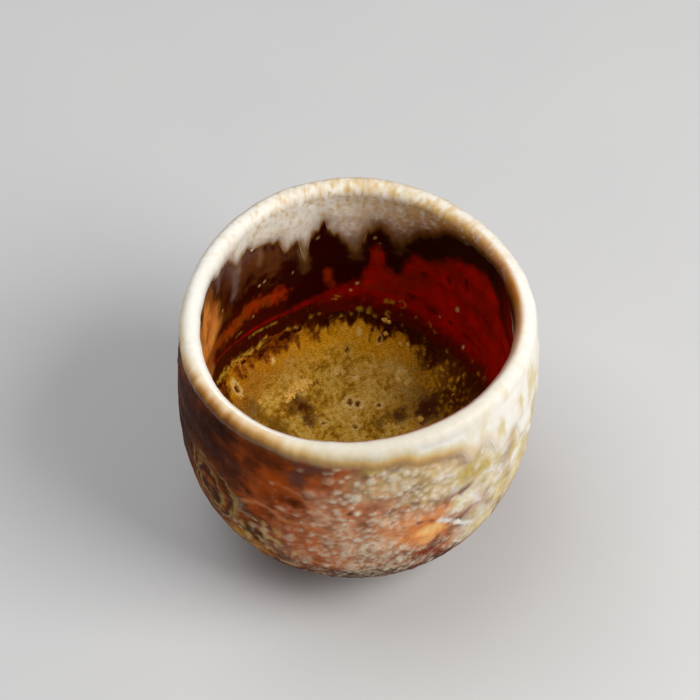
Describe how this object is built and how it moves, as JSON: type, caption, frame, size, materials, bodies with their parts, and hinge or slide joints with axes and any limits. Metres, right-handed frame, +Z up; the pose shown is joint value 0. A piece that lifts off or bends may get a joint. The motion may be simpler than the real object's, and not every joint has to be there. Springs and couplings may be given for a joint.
{
  "type": "yunomi tea cup",
  "caption": "Round handleless stoneware tea cup with a rounded lip, a deep well, a trimmed foot and runny rim, liner and ash glazes; holds hot tea and stands on its foot.",
  "frame": {"origin": "centre of the flat face that the foot stands on", "axes": "+Z up along the cup's axis; +X to the right and +Y away from the viewer in the picture's view"},
  "size_m": [0.0826, 0.0826, 0.07],
  "materials": {
    "clay": "fired stoneware, dry",
    "foot_clay": "trimmed stoneware, dry",
    "white_glaze": "milky gloss",
    "iron_glaze": "gloss",
    "ash_glass": "satin, granular",
    "ash_crust": "rough",
    "ash_coat": "satin with crawled beads"
  },
  "bodies": {
    "root": {"clay_body": "clay", "foot_ring": "foot_clay", "rim_glaze": "white_glaze", "inner_glaze": "iron_glaze", "ash_pool": "ash_glass", "kiln_crumbs": "ash_crust", "outer_glaze": "ash_coat"}
  },
  "joints": []
}
